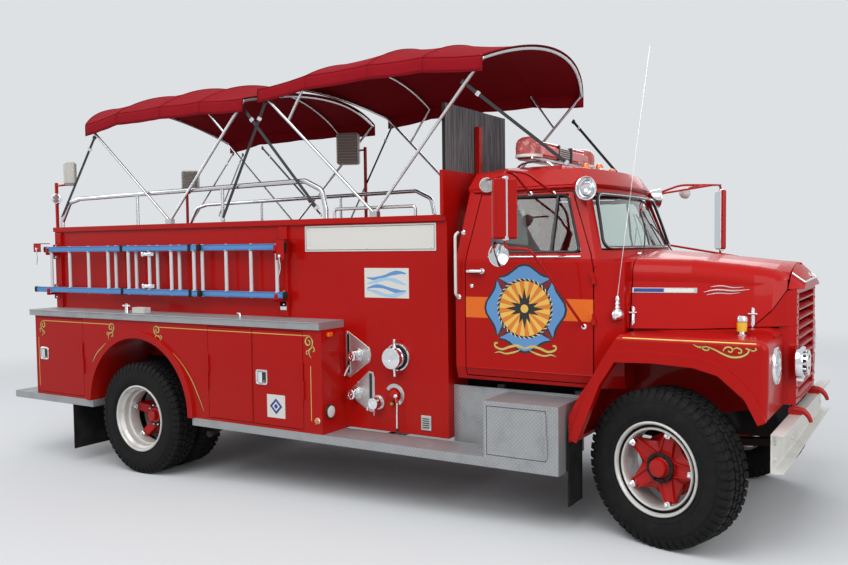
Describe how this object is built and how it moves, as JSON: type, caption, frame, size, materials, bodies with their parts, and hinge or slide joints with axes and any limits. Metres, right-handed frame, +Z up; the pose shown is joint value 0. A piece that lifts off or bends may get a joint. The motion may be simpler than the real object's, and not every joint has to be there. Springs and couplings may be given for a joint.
{
  "type": "fire engine",
  "caption": "Red conventional-cab fire engine with a butterfly hood, pump panels, side ladder, side lockers and a two-canopy open passenger bed",
  "frame": {"origin": "on the ground at the bottom centre of the bounding box", "axes": "+X forward, +Y to the truck's left, +Z up"},
  "size_m": [7.4798, 2.9, 3.705],
  "materials": {
    "black_steel": "satin",
    "canopy_fabric": "canvas",
    "chrome": "polished",
    "dash_paint": "satin",
    "engine_iron": "cast",
    "flap_rubber": "matte",
    "glass": "clear",
    "ladder_blue": "painted",
    "red_paint": "gloss",
    "rubber": "matte",
    "seat_vinyl": "satin",
    "speaker_shell": "matte",
    "steel_pipe": "brushed",
    "tread_plate": "diamond tread",
    "weathered_wood": "weathered",
    "white_steel": "satin"
  },
  "bodies": {
    "chassis": {"body_box": "red_paint", "cab_glass": "glass", "cab_interior": "dash_paint", "cab_shell": "red_paint", "canopy_frames": "steel_pipe", "canopy_front": "canopy_fabric", "canopy_rear": "canopy_fabric", "exhaust": "engine_iron", "fender_left": "red_paint", "fender_right": "red_paint", "frame_rails": "black_steel", "front_axle": "black_steel", "front_bumper": "white_steel", "front_lamps": "chrome", "grille_shell": "red_paint", "handrails": "steel_pipe", "ladder": "ladder_blue", "ladder_rack": "red_paint", "leaf_springs": "black_steel", "light_bar": "red_paint", "lockers_left": "red_paint", "lockers_right": "red_paint", "mud_flaps": "flap_rubber", "powertrain": "engine_iron", "pump_fittings": "steel_pipe", "rear_axle": "black_steel", "rear_step": "tread_plate", "seats": "seat_vinyl", "speakers": "speaker_shell", "tool_box_left": "tread_plate", "tool_box_right": "tread_plate", "tread_plates": "tread_plate", "water_tank": "engine_iron", "wind_board": "weathered_wood"},
    "knuckle_right": {"knuckle_right": "black_steel"},
    "front_wheel_right": {"rim_front_right": "red_paint", "tyre_front_right": "rubber"},
    "rear_wheel_right": {"rims_rear_right": "red_paint", "tyres_rear_right": "rubber"},
    "cab_door_right": {"cab_door_right": "red_paint", "door_glass_right": "glass", "mirror_right": "red_paint"},
    "hood_right": {"hood_right": "red_paint"},
    "locker_door_rear_right": {"locker_door_rear_right": "red_paint"},
    "locker_door_mid_right": {"locker_door_mid_right": "red_paint"},
    "locker_door_front_right": {"locker_door_front_right": "red_paint"},
    "tool_door_right": {"tool_door_right": "tread_plate"},
    "knuckle_left": {"knuckle_left": "black_steel"},
    "front_wheel_left": {"rim_front_left": "red_paint", "tyre_front_left": "rubber"},
    "rear_wheel_left": {"rims_rear_left": "red_paint", "tyres_rear_left": "rubber"},
    "cab_door_left": {"cab_door_left": "red_paint", "door_glass_left": "glass", "mirror_left": "red_paint"},
    "hood_left": {"hood_left": "red_paint"},
    "locker_door_rear_left": {"locker_door_rear_left": "red_paint"},
    "locker_door_mid_left": {"locker_door_mid_left": "red_paint"},
    "locker_door_front_left": {"locker_door_front_left": "red_paint"},
    "tool_door_left": {"tool_door_left": "tread_plate"}
  },
  "joints": [
    {"name": "steer_right", "type": "hinge", "parent": "chassis", "child": "knuckle_right", "pos_m": [2.97688, -0.82, 0.515], "axis": [0.0243, 0, 0.9997], "range_deg": [-15, 48]},
    {"name": "spin_front_right", "type": "hinge", "parent": "knuckle_right", "child": "front_wheel_right", "pos_m": [2.92457, -0.99223, 0.51627], "axis": [0.2906, 0.9568, -0.0071], "continuous": true},
    {"name": "spin_rear_right", "type": "hinge", "parent": "chassis", "child": "rear_wheel_right", "pos_m": [-1.87455, -1.085, 0.515], "axis": [0, 1, 0], "continuous": true},
    {"name": "cab_door_right_hinge", "type": "hinge", "parent": "chassis", "child": "cab_door_right", "pos_m": [2.44301, -0.952, 1.47227], "axis": [0.0243, 0, 0.9997], "range_deg": [0, 55]},
    {"name": "hood_right_hinge", "type": "hinge", "parent": "chassis", "child": "hood_right", "pos_m": [3.13976, 0, 1.86489], "axis": [-0.9926, 0, 0.1217], "range_deg": [0, 62]},
    {"name": "locker_rear_right_hinge", "type": "hinge", "parent": "chassis", "child": "locker_door_rear_right", "pos_m": [-2.61913, -1.228, 1.05527], "axis": [0.0243, 0, 0.9997], "range_deg": [0, 110]},
    {"name": "locker_mid_right_hinge", "type": "hinge", "parent": "chassis", "child": "locker_door_mid_right", "pos_m": [-0.94224, -1.228, 0.98946], "axis": [-0.0243, 0, -0.9997], "range_deg": [0, 110]},
    {"name": "locker_front_right_hinge", "type": "hinge", "parent": "chassis", "child": "locker_door_front_right", "pos_m": [0.10845, -1.228, 0.9639], "axis": [0.0243, 0, 0.9997], "range_deg": [0, 110]},
    {"name": "tool_door_right_hinge", "type": "hinge", "parent": "chassis", "child": "tool_door_right", "pos_m": [2.18836, -1.228, 0.68823], "axis": [0.0243, 0, 0.9997], "range_deg": [0, 100]},
    {"name": "steer_left", "type": "hinge", "parent": "chassis", "child": "knuckle_left", "pos_m": [2.97688, 0.82, 0.515], "axis": [0.0243, 0, 0.9997], "range_deg": [-15, 48]},
    {"name": "spin_front_left", "type": "hinge", "parent": "knuckle_left", "child": "front_wheel_left", "pos_m": [3.02919, 0.99223, 0.51373], "axis": [0.2906, 0.9568, -0.0071], "continuous": true},
    {"name": "spin_rear_left", "type": "hinge", "parent": "chassis", "child": "rear_wheel_left", "pos_m": [-1.87455, 1.085, 0.515], "axis": [0, 1, 0], "continuous": true},
    {"name": "cab_door_left_hinge", "type": "hinge", "parent": "chassis", "child": "cab_door_left", "pos_m": [2.44301, 0.952, 1.47227], "axis": [-0.0243, 0, -0.9997], "range_deg": [0, 55]},
    {"name": "hood_left_hinge", "type": "hinge", "parent": "chassis", "child": "hood_left", "pos_m": [3.13976, 0, 1.86489], "axis": [0.9926, 0, -0.1217], "range_deg": [0, 62]},
    {"name": "locker_rear_left_hinge", "type": "hinge", "parent": "chassis", "child": "locker_door_rear_left", "pos_m": [-2.61913, 1.228, 1.05527], "axis": [-0.0243, 0, -0.9997], "range_deg": [0, 110]},
    {"name": "locker_mid_left_hinge", "type": "hinge", "parent": "chassis", "child": "locker_door_mid_left", "pos_m": [-0.94224, 1.228, 0.98946], "axis": [0.0243, 0, 0.9997], "range_deg": [0, 110]},
    {"name": "locker_front_left_hinge", "type": "hinge", "parent": "chassis", "child": "locker_door_front_left", "pos_m": [0.10845, 1.228, 0.9639], "axis": [-0.0243, 0, -0.9997], "range_deg": [0, 110]},
    {"name": "tool_door_left_hinge", "type": "hinge", "parent": "chassis", "child": "tool_door_left", "pos_m": [2.18836, 1.228, 0.68823], "axis": [-0.0243, 0, -0.9997], "range_deg": [0, 100]}
  ],
  "couplings": [
    {"joint": "steer_left", "follows": "steer_right", "ratio": 1}
  ]
}
